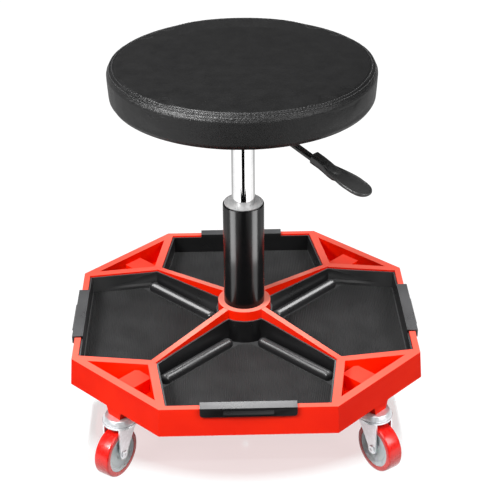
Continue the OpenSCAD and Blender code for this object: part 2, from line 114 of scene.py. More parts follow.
class Look:
    """One procedural Principled material; what is the same all over is set on the shader's own sockets"""

    def __init__(self, name, **constants):
        self.mat = bpy.data.materials.new(name)
        self.mat.use_nodes = True
        self.tree = self.mat.node_tree
        self.shader = next(n for n in self.tree.nodes if n.type == "BSDF_PRINCIPLED")
        for socket, value in constants.items():
            self.shader.inputs[socket.replace("_", " ")].default_value = value
        self.here = self.add("ShaderNodeTexCoord").outputs["Object"]

    def add(self, kind, **settings):
        node = self.tree.nodes.new(kind)
        for key, value in settings.items():
            setattr(node, key, value)
        return node

    def feed(self, socket, value):
        if isinstance(value, bpy.types.NodeSocket):
            self.tree.links.new(value, socket)
        else:
            socket.default_value = value

    def stretch(self, x, y, z):
        node = self.add("ShaderNodeMapping")
        self.feed(node.inputs["Vector"], self.here)
        node.inputs["Scale"].default_value = (x, y, z)
        return node.outputs["Vector"]

    def noise(self, scale, detail=3.0, rough=0.55, where=None):
        node = self.add("ShaderNodeTexNoise")
        self.feed(node.inputs["Vector"], where or self.here)
        node.inputs["Scale"].default_value = scale
        node.inputs["Detail"].default_value = detail
        node.inputs["Roughness"].default_value = rough
        return node.outputs["Fac"]

    def cells(self, scale, feature="F1", where=None, scatter=1.0):
        node = self.add("ShaderNodeTexVoronoi", feature=feature)
        self.feed(node.inputs["Vector"], where or self.here)
        node.inputs["Scale"].default_value = scale
        node.inputs["Randomness"].default_value = scatter
        return node.outputs["Distance"]

    def wave(self, scale, direction, distortion=0.0):
        node = self.add("ShaderNodeTexWave", bands_direction=direction)
        self.feed(node.inputs["Vector"], self.here)
        node.inputs["Scale"].default_value = scale
        node.inputs["Distortion"].default_value = distortion
        return node.outputs["Fac"]

    def worn(self):
        """High on outside edges, low in hollows"""
        return self.contrast(self.add("ShaderNodeNewGeometry").outputs["Pointiness"], 0.5, 0.6)

    def facing_up(self):
        parts = self.add("ShaderNodeSeparateXYZ")
        self.feed(parts.inputs[0], self.add("ShaderNodeNewGeometry").outputs["Normal"])
        return self.contrast(parts.outputs["Z"], 0.6, 0.95)

    def above(self, lower, upper):
        """Rises from 0 at one height of the piece to 1 at another"""
        parts = self.add("ShaderNodeSeparateXYZ")
        self.feed(parts.inputs[0], self.here)
        return self.contrast(parts.outputs["Z"], lower, upper)

    def span(self, value, from_lo, from_hi, to_lo, to_hi):
        node = self.add("ShaderNodeMapRange")
        for socket, number in zip(node.inputs[:5], (value, from_lo, from_hi, to_lo, to_hi)):
            self.feed(socket, number)
        return node.outputs[0]

    def contrast(self, value, dark=0.3, light=0.7):
        """Opens the middle of a pattern out to the whole of 0 to 1"""
        return self.span(value, dark, light, 0.0, 1.0)

    def maths(self, operation, a, b):
        node = self.add("ShaderNodeMath", operation=operation)
        self.feed(node.inputs[0], a)
        self.feed(node.inputs[1], b)
        return node.outputs[0]

    def blend(self, share, a, b):
        node = self.add("ShaderNodeMix", data_type="RGBA")
        self.feed(node.inputs[0], share)
        for socket, colour in ((node.inputs[6], a), (node.inputs[7], b)):
            self.feed(socket, colour if isinstance(colour, bpy.types.NodeSocket) else (*colour, 1.0))
        return node.outputs[2]

    def colour(self, share, a, b):
        self.feed(self.shader.inputs["Base Color"], self.blend(share, a, b))

    def roughness(self, share, smooth, rough):
        self.feed(self.shader.inputs["Roughness"], self.span(share, 0.3, 0.7, smooth, rough))

    def relief(self, height, depth):
        """Bumps of this depth in metres, over any that are there already"""
        node = self.add("ShaderNodeBump")
        node.inputs["Distance"].default_value = depth
        self.feed(node.inputs["Height"], height)
        socket = self.shader.inputs["Normal"]
        if socket.links:
            self.tree.links.new(socket.links[0].from_socket, node.inputs["Normal"])
        self.tree.links.new(node.outputs["Normal"], socket)


def moulded_red():
    """Paler on upward faces near the top of the tray, and paler still on the highest: a painted highlight of
    the light from above, broken into patches
    """
    look = Look("red_polypropylene", IOR=1.47, Specular_IOR_Level=0.03)
    patches = look.noise(14, 4)
    flow = look.noise(5, 2, where=look.stretch(1, 1, 6))
    body = look.blend(look.contrast(patches, 0.35, 0.65), (0.80, 0.010, 0.0005), (0.88, 0.016, 0.001))
    # Painted highlight: upward faces near the top of the tray, and more so the highest, blend toward pale pink
    # in noisy patches
    for lower, upper, highlight_breakup, least, most, painted_highlight in (
            (109, 119, flow, 0.55, 0.95, (1.0, 0.17, 0.12)),
            (122.5, 129, patches, 0.4, 0.8, (1.0, 0.34, 0.26))):
        where = look.maths("MULTIPLY", look.facing_up(), look.above(lower * MM, upper * MM))
        share = look.maths("MULTIPLY", where, look.span(highlight_breakup, 0.3, 0.7, least, most))
        body = look.blend(share, body, painted_highlight)
    look.colour(look.maths("MULTIPLY", look.worn(), 0.1), body, (1.0, 0.13, 0.08))
    look.roughness(flow, 0.34, 0.44)
    look.relief(look.noise(1600, 2), 0.00003)
    look.relief(look.noise(60, 2), 0.00012)
    return look


def gloss_black():
    look = Look("gloss_black_abs", IOR=1.5, Specular_IOR_Level=0.5)
    smudges = look.noise(22, 5, 0.6)
    look.colour(look.worn(), (0.0045, 0.0045, 0.0048), (0.016, 0.016, 0.017))
    look.roughness(smudges, 0.26, 0.34)
    look.relief(look.noise(900, 2), 0.000012)
    look.relief(look.noise(35, 2), 0.00003)
    return look


def column_black():
    look = Look("black_powder_coat", IOR=1.5, Specular_IOR_Level=0.18)
    look.colour(look.noise(40, 3), (0.0008, 0.0008, 0.0009), (0.0018, 0.0018, 0.0019))
    look.roughness(look.noise(30, 4), 0.19, 0.24)
    look.relief(look.noise(420, 2, 0.4), 0.00002)
    return look


def satin_plastic(name, tone, smooth, rough, grain=1400, depth=0.00003):
    look = Look(name, IOR=1.48)
    look.colour(look.contrast(look.noise(25, 4)), (tone * 0.8,) * 3, (tone * 1.25,) * 3)
    look.roughness(look.noise(60, 4), smooth, rough)
    look.relief(look.noise(grain, 2), depth)
    return look


def ribbed_rubber():
    look = Look("ribbed_rubber", IOR=1.5)
    dust = look.noise(30, 5, 0.6)
    look.colour(look.contrast(dust), (0.018, 0.018, 0.0185), (0.027, 0.027, 0.0275))
    look.roughness(dust, 0.62, 0.78)
    look.relief(look.noise(2200, 2), 0.00004)
    return look


def leather():
    look = Look("black_pu_leather", IOR=1.5, Specular_IOR_Level=0.22)
    warp = look.add("ShaderNodeVectorMath", operation="ADD")
    drift = look.add("ShaderNodeTexNoise")
    look.feed(drift.inputs["Vector"], look.here)
    drift.inputs["Scale"].default_value = 160
    shift = look.add("ShaderNodeVectorMath", operation="SCALE")
    look.feed(shift.inputs[0], drift.outputs["Color"])
    shift.inputs["Scale"].default_value = 0.004
    look.feed(warp.inputs[0], look.here)
    look.feed(warp.inputs[1], shift.outputs[0])
    pebble = look.cells(620, "DISTANCE_TO_EDGE", warp.outputs[0])
    fine = look.cells(1500, "DISTANCE_TO_EDGE", warp.outputs[0])
    crease = look.noise(48, 5, 0.65)
    tone = look.contrast(crease)
    skin = look.blend(tone, (0.0036, 0.0036, 0.0037), (0.0062, 0.0062, 0.0063))
    look.colour(look.span(pebble, 0.0, 0.10, 0.55, 0), skin, (0.004, 0.004, 0.004))
    look.roughness(crease, 0.30, 0.38)
    look.relief(look.contrast(pebble, 0.0, 0.22), 0.00010)
    look.relief(look.contrast(fine, 0.0, 0.2), 0.00003)
    look.relief(look.noise(24, 3), 0.0006)
    return look


def thread():
    look = Look("black_thread", IOR=1.45, Sheen_Weight=0.3)
    look.colour(look.noise(900, 2), (0.020, 0.020, 0.021), (0.055, 0.055, 0.057))
    look.roughness(look.noise(500, 2), 0.5, 0.65)
    look.relief(look.wave(2600, "DIAGONAL"), 0.00006)
    return look


def metal(name, tone, smooth, rough, streak=(30, 30, 400), depth=0.000006, tint=(1.0, 1.0, 1.0)):
    look = Look(name, Metallic=1.0)
    brushed = look.noise(12, 4, 0.6, look.stretch(*streak))
    bright, dull = (tuple(tone * k * t for t in tint) for k in (1.0, 0.86))
    look.colour(look.contrast(look.noise(60, 4), 0.35, 0.7), bright, dull)
    look.roughness(brushed, smooth, rough)
    look.relief(brushed, depth)
    return look


def zinc_plate():
    look = Look("bright_zinc_plate", Metallic=0.75)
    spangle = look.cells(260)
    look.colour(look.contrast(spangle, 0.1, 0.6), (0.86, 0.88, 0.91), (0.76, 0.78, 0.80))
    look.roughness(look.noise(90, 4), 0.30, 0.42)
    look.relief(look.noise(700, 3), 0.00001)
    return look


def plywood():
    look = Look("birch_plywood", IOR=1.45)
    grain = look.noise(9, 6, 0.65, look.stretch(2, 26, 1))
    plies = look.wave(210, "Z", 0.3)
    face = look.blend(look.contrast(grain), (0.56, 0.38, 0.20), (0.70, 0.52, 0.31))
    look.colour(look.maths("MULTIPLY", plies, 0.35), face, (0.34, 0.21, 0.10))
    look.roughness(grain, 0.6, 0.75)
    look.relief(grain, 0.0002)
    return look


def felt_cloth():
    look = Look("nonwoven_cloth", IOR=1.4, Sheen_Weight=0.4)
    fibres = look.noise(700, 5, 0.7)
    dimples = look.cells(420, scatter=0.15)
    look.colour(look.contrast(fibres), (0.010, 0.010, 0.011), (0.032, 0.032, 0.034))
    look.roughness(fibres, 0.85, 0.95)
    look.relief(look.contrast(dimples, 0.1, 0.5), 0.00018)
    look.relief(fibres, 0.0001)
    return look


def wheel_core_plastic():
    look = Look("pale_nylon", IOR=1.5, Subsurface_Weight=0.05)
    look.colour(look.contrast(look.noise(40, 4)), (0.60, 0.66, 0.67), (0.70, 0.75, 0.76))
    look.roughness(look.noise(80, 3), 0.30, 0.42)
    look.relief(look.noise(1500, 2), 0.00002)
    return look


def tyre_urethane():
    look = Look("red_polyurethane", IOR=1.5, Coat_Weight=0.25, Coat_Roughness=0.15)
    rub = look.noise(120, 5, 0.65)
    look.colour(look.contrast(rub, 0.35, 0.7), (0.66, 0.005, 0.002), (0.74, 0.009, 0.004))
    look.roughness(rub, 0.22, 0.34)
    look.relief(look.noise(800, 3), 0.00002)
    return look


def pale_floor():
    look = Look("pale_floor", IOR=1.45, Emission_Strength=0.98, Emission_Color=(1.0, 1.0, 1.0, 1.0))
    look.colour(look.noise(0.8, 2), (0.05, 0.05, 0.05), (0.06, 0.06, 0.06))
    look.roughness(look.noise(3, 2), 0.5, 0.6)
    return look


def floor_gloss():
    """A film that mirrors a third of the light close under the stool and a little further out"""
    look = Look("floor_gloss", Metallic=1.0, Base_Color=(1.0, 1.0, 1.0, 1.0))
    shares = []
    for half_x, half_y, fade, most in ((0.25, 0.195, 0.14, 0.35), (0.36, 0.36, 0.3, 0.07)):
        spot = look.add("ShaderNodeTexGradient", gradient_type="SPHERICAL")
        look.feed(spot.inputs["Vector"], look.stretch(1 / half_x, 1 / half_y, 1))
        shares.append(look.span(spot.outputs["Fac"], 0.0, fade, 0.0, most))
    look.feed(look.shader.inputs["Alpha"], look.maths("MAXIMUM", *shares))
    look.roughness(look.noise(3, 2), 0.09, 0.12)
    return look


LOOKS = {
    "tray_plastic": moulded_red(),
    "column_paint": column_black(),
    "black_plastic": satin_plastic("bushing_nylon", 0.030, 0.32, 0.45),
    "bushing_nylon": satin_plastic("grey_nylon", 0.46, 0.30, 0.42),
    "zinc_steel": zinc_plate(),
    "bearing_steel": metal("bearing_steel", 0.70, 0.10, 0.18),
    "chrome": metal("hard_chrome", 0.93, 0.035, 0.07, streak=(8, 8, 90), depth=0.000002),
    "seat_board_wood": plywood(),
    "dust_cloth": felt_cloth(),
    "seat_leather": leather(),
    "lever_paint": satin_plastic("lever_enamel", 0.007, 0.16, 0.24, 500, 0.00001),
    "paddle_plastic": satin_plastic("paddle_abs", 0.020, 0.24, 0.36),
    "liner_plastic": gloss_black(),
    "mat_rubber": ribbed_rubber(),
    "wheel_plastic": wheel_core_plastic(),
    "tyre_red": tyre_urethane(),
}
THREAD = thread()


# ---- Meshes --------------------------------------------------------------------------------

def smooth_shade(mesh, sharp=38):
    """Shades smoothly except over edges sharper than this angle or already marked"""
    mesh.polygons.foreach_set("use_smooth", [True] * len(mesh.polygons))
    marked = [e for e in mesh.edges if e.use_edge_sharp]
    mesh.set_sharp_from_angle(angle=math.radians(sharp))
    for edge in marked:
        edge.use_edge_sharp = True


def dress(obj, slot, body, nodes=(), look=None):
    """Gives a new piece its place in the scene, its finish and the body it rides on"""
    scene.collection.objects.link(obj)
    obj.data.materials.clear()
    obj.data.materials.append((look or LOOKS[slot]).mat)
    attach(obj, body)
    if nodes:
        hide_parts(*nodes)
    return obj


def piece(name, verts, faces, slot, body, nodes=(), look=None, sharp=38):
    mesh = bpy.data.meshes.new(name)
    mesh.from_pydata([tuple(v) for v in verts], [], faces)
    smooth_shade(mesh, sharp)
    return dress(bpy.data.objects.new(name, mesh), slot, body, nodes, look)


def from_bmesh(name, bm, slot, body, nodes, sharp=38, flat_faces=True):
    mesh = bpy.data.meshes.new(name)
    bm.to_mesh(mesh)
    bm.free()
    smooth_shade(mesh, sharp)
    obj = dress(bpy.data.objects.new(name, mesh), slot, body, nodes)
    if flat_faces:
        obj.modifiers.new("normals", "WEIGHTED_NORMAL").keep_sharp = True
    return obj


def node_bmesh(node):
    """A CAD node's own shape with its faces joined up and its flat triangles merged"""
    bm = bmesh.new()
    bm.from_mesh(frame["nodes"][node].data)
    bmesh.ops.remove_doubles(bm, verts=bm.verts, dist=2e-6)
    bmesh.ops.dissolve_limit(bm, angle_limit=math.radians(0.7), verts=bm.verts, edges=bm.edges)
    return bm


def softened(node, slot, width, segments=2, angle=28, least=0.0, hollows=True):
    """A skin for a CAD node with its hard edges longer than least rounded, the outward ones alone without
    hollows. A large flat face ends in a sharp edge wherever no rounded band meets it."""
    bm = node_bmesh(node)
    rounded = set()
    if width:
        hard = [e for e in bm.edges if len(e.link_faces) == 2 and e.calc_length() > least
                and e.calc_face_angle(0) > math.radians(angle) and (hollows or e.is_convex)]
        rounded.update(bmesh.ops.bevel(bm, geom=hard, offset=width, offset_type="OFFSET", segments=segments,
                                       profile=0.5, affect="EDGES", clamp_overlap=True)["faces"])
    flats = {f for f in bm.faces if f.calc_area() > LARGE_FLAT} - rounded
    for edge in bm.edges:
        edge.smooth = flats.isdisjoint(edge.link_faces) or not rounded.isdisjoint(edge.link_faces)
    return from_bmesh(f"{node}_skin", bm, slot, frame["nodes"][node]["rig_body"], [node])


def filleted(corners, steps=5):
    """Points along a line of (radius, height, rounding) corners, each turned into an arc"""
    out = []
    for i, (r, z, rounding) in enumerate(corners):
        here = Vector((r, z))
        if rounding <= 0:
            out.append(here)
            continue
        before, after = (Vector(corners[(i + k) % len(corners)][:2]) - here for k in (-1, 1))
        half = before.angle(after) / 2
        reach = min(rounding / math.tan(half), 0.49 * before.length, 0.49 * after.length)
        tangents = here + before.normalized() * reach, here + after.normalized() * reach
        for k in range(steps + 1):
            t = k / steps
            out.append(tangents[0] * (1 - t) ** 2 + here * 2 * t * (1 - t) + tangents[1] * t * t)
    return [(p.x, p.y) for p in out]


def circle(radius, z, count):
    turns = (2 * math.pi * k / count for k in range(count))
    return [Vector((radius * math.cos(a), radius * math.sin(a), z)) for a in turns]


def band(a, b):
    """The quads between one ring of points and the next"""
    return list(zip(a, a[1:] + a[:1], b[1:] + b[:1], b))


def cone(ring, tip):
    """The triangles between a ring of points and a tip"""
    return [(p, q, tip) for p, q in zip(ring, ring[1:] + ring[:1])]


def lathe(profile, segments=128, place=Matrix.Identity(4)):
    """A closed surface of revolution about place's Z from a line of (radius, height) points.
    The line runs anticlockwise round a ring, or from the axis back to the axis."""
    rings, verts, faces = [], [], []
    for r, z in profile:
        if r < 1e-7:
            rings.append([len(verts)])
            verts.append(place @ Vector((0, 0, z)))
            continue
        rings.append(list(range(len(verts), len(verts) + segments)))
        verts += [place @ point for point in circle(r, z, segments)]
    pairs = list(zip(rings, rings[1:]))
    if len(rings[0]) > 1 and len(rings[-1]) > 1:
        pairs.append((rings[-1], rings[0]))
    for a, b in pairs:
        if len(a) == 1:
            faces += [(tip, q, p) for p, q, tip in cone(b, a[0])]
        elif len(b) == 1:
            faces += cone(a, b[0])
        else:
            faces += band(a, b)
    return verts, faces


def turned(name, corners, slot, body, nodes, segments=128, place=Matrix.Identity(4), steps=5):
    verts, faces = lathe(filleted(corners, steps), segments, place)
    return piece(name, verts, faces, slot, body, nodes)


# ---- Tray ----------------------------------------------------------------------------------

softened("tray_base", "tray_plastic", 1.0 * MM, segments=3, least=0.6 * MM)
for side in SIDES:
    softened(f"liner_{side}", "liner_plastic", 0.45 * MM, least=0.8 * MM, hollows=False)


RIB = ((0.0, 0.0), (0.22, 0.0), (0.36, 0.85), (0.50, 1.0), (0.72, 1.0), (0.86, 0.85))  # shares of pitch, height


def ribbed_mat(side):
    """The mat's own outline filled with fine moulded ribs that run front to back"""
    node = f"mat_{side}"
    lo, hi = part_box(node)
    pitch, rib, spacing = 2.2 * MM, 0.42 * MM, 10 * MM
    across = int((hi.x - lo.x) / pitch) + 3
    x0 = (lo.x + hi.x) / 2 - across * pitch / 2
    line = [(x0 + (i + share) * pitch, hi.z - rib + rib * rise) for i in range(across) for share, rise in RIB]
    stations = [lo.y - MM + k * spacing for k in range(int((hi.y - lo.y) / spacing) + 3)]
    bm = bmesh.new()
    top = [[bm.verts.new((x, y, z)) for x, z in line] for y in stations]
    bottom = [[bm.verts.new((x, y, lo.z)) for x, _ in line] for y in stations]
    for up, up_next, down, down_next in zip(top, top[1:], bottom, bottom[1:]):
        for i in range(len(line) - 1):
            bm.faces.new((up[i], up[i + 1], up_next[i + 1], up_next[i]))
            bm.faces.new((down[i], down_next[i], down_next[i + 1], down[i + 1]))
        bm.faces.new((up[0], up_next[0], down_next[0], down[0]))
        bm.faces.new((up[-1], down[-1], down_next[-1], up_next[-1]))
    for i in range(len(line) - 1):
        bm.faces.new((top[0][i], bottom[0][i], bottom[0][i + 1], top[0][i + 1]))
        bm.faces.new((top[-1][i], top[-1][i + 1], bottom[-1][i + 1], bottom[-1][i]))
    outline = node_bmesh(node)
    walls = [(f.calc_center_median(), f.normal.copy()) for f in outline.faces if abs(f.normal.z) < 0.5]
    outline.free()
    for point, out in walls:
        cut = bmesh.ops.bisect_plane(bm, geom=bm.verts[:] + bm.edges[:] + bm.faces[:], dist=1e-7,
                                     plane_co=point, plane_no=out, clear_outer=True)
        edges = [e for e in cut["geom_cut"] if isinstance(e, bmesh.types.BMEdge)]
        bmesh.ops.contextual_create(bm, geom=edges)
    bmesh.ops.recalc_face_normals(bm, faces=bm.faces)
    from_bmesh(f"{node}_ribbed", bm, "mat_rubber", f"tray_{side}", [node], sharp=60, flat_faces=False)


for side in SIDES:
    ribbed_mat(side)


# ---- Gas lift ------------------------------------------------------------------------------

def gas_lift():
    """The painted tube with its rolled lip, and the chromed cylinder with its necked end"""
    r, z0, z1 = radius_of("column_tube"), low("column_tube").z, high("column_tube").z
    wall, lip = 1.8 * MM, 4 * MM
    turned("column_tube_skin", [
        (r - wall, z0, 0), (r, z0, 0.4 * MM), (r, z1, lip), (r - lip, z1, 0.3 * MM), (r - lip, z1 - wall, 0),
        (r - wall, z1 - wall, lip - wall)], "column_paint", "base", ["column_tube"], 160, steps=8)
    r, z0, z1 = radius_of("gas_cylinder"), low("gas_cylinder").z, high("gas_cylinder").z
    wall, bore, neck = 2 * MM, 3.3 * MM, r - MM
    taper, deep = low("taper_socket").z, low("valve_pin").z - 5 * MM
    turned("gas_cylinder_skin", [
        (r - wall, z0, 0), (r, z0, 0.5 * MM), (r, taper - 2 * MM, 0.8 * MM), (neck, taper, 0),
        (neck, z1, 0.5 * MM), (bore, z1, 0), (bore, deep, 0), (r - wall, deep, 0)],
        "chrome", "seat", ["gas_cylinder"], 160)


gas_lift()
softened("column_bushing", "bushing_nylon", 0.2 * MM, segments=1)
for node, slot, width in (
        ("base_plate", "zinc_steel", 0.4), ("plate_screws", "zinc_steel", 0.4),
        ("thrust_race_lower", "bearing_steel", 0.3), ("thrust_race_upper", "bearing_steel", 0.3),
        ("thrust_balls", "bearing_steel", 0.0), ("piston_rod", "chrome", 0.4), ("piston", "black_plastic", 0.5),
        ("rod_clip", "zinc_steel", 0.2), ("rod_guide", "black_plastic", 0.3), ("valve_pin", "zinc_steel", 0.5),
        ("taper_socket", "zinc_steel", 0.6), ("lever_bracket", "zinc_steel", 0.4),
        ("seat_plate", "zinc_steel", 0.5), ("seat_screws", "zinc_steel", 0.4),
        ("seat_board", "seat_board_wood", 0.8), ("lever_pivot_pin", "zinc_steel", 0.3),
        ("lever_rod", "lever_paint", 0.4), ("caster_stems", "zinc_steel", 0.4),
        ("swivel_balls", "bearing_steel", 0.0)):
    softened(node, slot, width * MM)
cover = softened("dust_cover", "dust_cloth", 0.3 * MM)


# ---- Seat ----------------------------------------------------------------------------------

SEAT_R = radius_of("seat_cushion")
SEAT_LO, SEAT_HI = low("seat_cushion").z, high("seat_cushion").z
HOLLOW_TOP = high("seat_board").z + 0.3 * MM
HOLLOW_R = radius_of("seat_board") + 0.3 * MM
SEAM_R = SEAT_R - 5.2 * MM


def seat_profile(shrink):
    """The cushion's section from the middle of its underside, round the outside, to the middle of its crown"""
    r, lo, hi = SEAT_R - shrink, SEAT_LO, SEAT_HI - shrink
    return filleted([
        (0, HOLLOW_TOP, 0), (HOLLOW_R, HOLLOW_TOP, 0), (HOLLOW_R, lo, 0.8 * MM), (r - 5.5 * MM, lo, 2.5 * MM),
        (r - 1.4 * MM, lo + 5 * MM, 5 * MM), (r - 0.5 * MM, lo + 18 * MM, 20 * MM),
        (r + 0.2 * MM, hi - 9.5 * MM, 6 * MM), (r - 4.0 * MM, hi - 3.4 * MM, 3.5 * MM),
        (r - 12 * MM, hi - 1.9 * MM, 6 * MM), (r - 46 * MM, hi, 40 * MM), (0, hi, 0)], 8)


def puffed(verts, faces):
    """The stuffed shape after a short cloth simulation under pressure, as a tree for looking up its surface"""
    mesh = bpy.data.meshes.new("stuffing")
    mesh.from_pydata([tuple(v) for v in verts], [], faces)
    obj = bpy.data.objects.new("stuffing", mesh)
    scene.collection.objects.link(obj)
    bpy.context.view_layer.objects.active = obj
    frames, most = 20, 5 * MM
    remesh = obj.modifiers.new("voxels", "REMESH")
    remesh.mode, remesh.voxel_size = "VOXEL", 5 * MM
    apply_modifiers(obj)
    before = np.array([v.co for v in obj.data.vertices])
    cloth = obj.modifiers.new("cloth", "CLOTH")
    settings = cloth.settings
    settings.use_pressure = True
    settings.uniform_pressure_force = 4.0
    settings.effector_weights.gravity = 0.0
    settings.tension_stiffness = settings.compression_stiffness = 60
    settings.bending_stiffness = 8
    cloth.point_cache.frame_start, cloth.point_cache.frame_end = 1, frames
    for number in range(1, frames + 1):
        scene.frame_set(number)
    apply_modifiers(obj)
    after = np.array([v.co for v in obj.data.vertices])
    move = after - before
    size = np.linalg.norm(move, axis=1, keepdims=True)
    after = before + move * np.minimum(1.0, most / np.maximum(size, 1e-9))
    obj.data.vertices.foreach_set("co", after.ravel())
    scene.frame_set(1)
    subdivide = obj.modifiers.new("finer", "SUBSURF")
    subdivide.levels = 1
    apply_modifiers(obj)
    tree = BVHTree.FromObject(obj, bpy.context.evaluated_depsgraph_get())
    bpy.data.objects.remove(obj)
    return tree


def apply_modifiers(obj):
    """Turns an object's mesh into what its modifiers make of it"""
    made = bpy.data.meshes.new_from_object(obj.evaluated_get(bpy.context.evaluated_depsgraph_get()))
    obj.modifiers.clear()
    obj.data = made


def bell(x, width):
    """1 at x = 0, falling away on both sides"""
    return math.exp(-(x / width) ** 2)


def resampled(line, count):
    """count points evenly along a line of points"""
    line = np.array(line)
    along = np.r_[0, np.cumsum(np.linalg.norm(np.diff(line, axis=0), axis=1))]
    wanted = np.linspace(0, along[-1], count)
    return np.c_[np.interp(wanted, along, line[:, 0]), np.interp(wanted, along, line[:, 1])]


def cover_line():
    """The cover's section from its lower inside edge to the crown, with more points near the seam"""
    target = seat_profile(0.0)
    start = next(i for i, p in enumerate(target) if p[1] < SEAT_LO + MM)
    even = resampled(target[start:-1] + [(0.5 * MM, SEAT_HI)], 150)
    line = []
    for a, b in zip(even, even[1:]):
        line.append(a)
        if b[1] > SEAT_HI - 16 * MM and b[0] > SEAT_R - 24 * MM:
            line += [a + (b - a) * k / 4 for k in (1, 2, 3)]
    line.append(even[-1])
    return np.array(line)


def seam_height(s):
    """Height in mm at s mm above the seam: the seam, a roll on each side of it, and a tuck beyond each roll"""
    return (-0.75 * bell(s - 3.4, 0.9) - 0.45 * bell(s, 0.45) + 0.30 * bell(s - 1.15, 0.7)
            + 0.32 * bell(s + 1.15, 0.75) - 0.30 * bell(s + 2.6, 0.7))


def seat():
    """The sewn cover: the puffed shape with its seam, the puckers near it, soft folds and slow swells"""
    shrink, reach, most = 1.6 * MM, 12 * MM, 1.2 * MM
    segments = 480
    tree = puffed(*lathe(seat_profile(shrink), 144))
    line = cover_line()
    tangent = np.gradient(line, axis=0)
    tangent /= np.linalg.norm(tangent, axis=1, keepdims=True)
    normal = np.c_[tangent[:, 1], -tangent[:, 0]]
    seam = min(range(len(line)), key=lambda i: abs(line[i][0] - SEAM_R) + (line[i][1] < SEAT_HI - 6 * MM))
    run = np.r_[0, np.cumsum(np.linalg.norm(np.diff(line, axis=0), axis=1))]
    off_seam = run - run[seam]
    draw = random.Random(7)
    waves = [(draw.randint(5, 60), draw.uniform(0, 2 * math.pi), draw.uniform(0.3, 1.0)) for _ in range(26)]
    puckers = [(draw.randint(90, 230), draw.uniform(0, 2 * math.pi), draw.uniform(0.4, 1.0)) for _ in range(18)]
    swells = []
    for _ in range(9):
        heading, length = draw.uniform(0, 2 * math.pi), draw.uniform(35, 90) * MM
        swells.append((math.cos(heading) / length, math.sin(heading) / length, draw.uniform(0, 2 * math.pi)))
    rings, verts = [], []
    for (r, z), (out, up), s in zip(line, normal, off_seam / MM):
        groove = seam_height(s)
        near = bell(s, 9.0)
        outer = min(1.0, max(0.0, (r - SEAT_R * 0.75) / (SEAT_R * 0.2)))
        rings.append(list(range(len(verts), len(verts) + segments)))
        for k in range(segments):
            a = 2 * math.pi * k / segments
            ray = Vector((math.cos(a) * out, math.sin(a) * out, up))
            base = Vector((math.cos(a) * r, math.sin(a) * r, z))
            hit = tree.ray_cast(base + ray * reach, -ray, 2 * reach)[0]
            swell = 0.0 if hit is None else (hit - base).dot(ray) + shrink
            swell = max(-most, min(most, swell))
            pull = sum(h * math.sin(n * a + p) for n, p, h in puckers) / 9
            soft = sum(h * math.sin(n * a + p + s / 14) for n, p, h in waves) / 13
            drift = sum(math.sin(2 * math.pi * (base.x * u + base.y * v) + p) for u, v, p in swells) / 9
            folds = 0.16 * near * pull + 0.22 * soft * outer * (1 - 0.6 * near) + 0.12 * drift
            lift = swell * 0.5 + (groove + folds) * MM
            if z < SEAT_LO + 2 * MM:
                lift = min(lift, 0.0) * 0.3
            verts.append(base + ray * lift)
    faces = [face for a, b in zip(rings, rings[1:]) for face in band(a, b)]
    faces += cone(rings[-1], len(verts))
    verts.append(Vector((0, 0, sum(verts[v].z for v in rings[-1]) / segments)))
    inner = []
    for z in (SEAT_LO + MM, HOLLOW_TOP):
        inner.append(list(range(len(verts), len(verts) + segments)))
        verts += circle(HOLLOW_R, z, segments)
    faces += band(inner[0], rings[0]) + band(inner[1], inner[0])
    faces += [(q, p, tip) for p, q, tip in cone(inner[1], len(verts))]
    verts.append(Vector((0, 0, HOLLOW_TOP)))
    cushion = piece("seat_cushion_cover", verts, faces, "seat_leather", "seat", ["seat_cushion"], sharp=70)
    stitches(verts, rings, off_seam)


# One stitch: share of its length, thickness and rise in mm
STITCH = ((0, 0.15, -0.15), (0.2, 0.36, 0.02), (0.5, 0.42, 0.16), (0.8, 0.36, 0.02), (1, 0.15, -0.15))


def stitches(verts, rings, off_seam):
    """Two rows of raised stitches, one each side of the seam"""
    count, sides = 230, 6
    out_verts, out_faces = [], []
    for offset in (2.05 * MM, -2.0 * MM):
        i = int(np.abs(off_seam - offset).argmin())
        ring, beyond = rings[i], rings[min(i + 1, len(rings) - 1)]
        segments = len(ring)
        for k in range(count):
            ends = []
            for share in (0.18, 0.82):
                place = (k + share) / count * segments
                here, following = (verts[ring[(int(place) + n) % segments]] for n in (0, 1))
                ends.append(here.lerp(following, place % 1))
            along = (ends[1] - ends[0]).normalized()
            nearest = int(k / count * segments)
            side = (verts[beyond[nearest]] - verts[ring[nearest]]).normalized()
            up = along.cross(side).normalized()
            if up.dot(Vector((ends[0].x, ends[0].y, 0)).normalized() + Vector((0, 0, 1))) < 0:
                up = -up
            loops = []
            for share, size, rise in STITCH:
                centre = ends[0].lerp(ends[1], share) + up * rise * MM
                loops.append(list(range(len(out_verts), len(out_verts) + sides)))
                for j in range(sides):
                    t = 2 * math.pi * j / sides
                    out_verts.append(centre + (side * math.cos(t) + up * math.sin(t)) * size * MM)
            for a, b in zip(loops, loops[1:]):
                out_faces += band(a, b)
            out_faces += [tuple(reversed(loops[0])), tuple(loops[-1])]
    piece("seat_seam_stitches", out_verts, out_faces, "seat_leather", "seat", look=THREAD, sharp=60)


seat()


# ---- Lever paddle --------------------------------------------------------------------------

# The paddle's socket: distance, share of the radius across, drop, share of the radius up, squareness
SOCKET = ((0, 1, 0, 1, 3.2), (12, 1, -0.2, 1, 3.0), (20, 1.05, -1.0, 1, 2.8), (28, 1.16, -2.2, 0.96, 2.6),
          (34, 1.20, -2.8, 0.92, 2.4), (38, 1.05, -2.9, 0.80, 2.2), (40.5, 0.75, -2.6, 0.58, 2.0),
          (42, 0.3, -2.2, 0.25, 2.0))


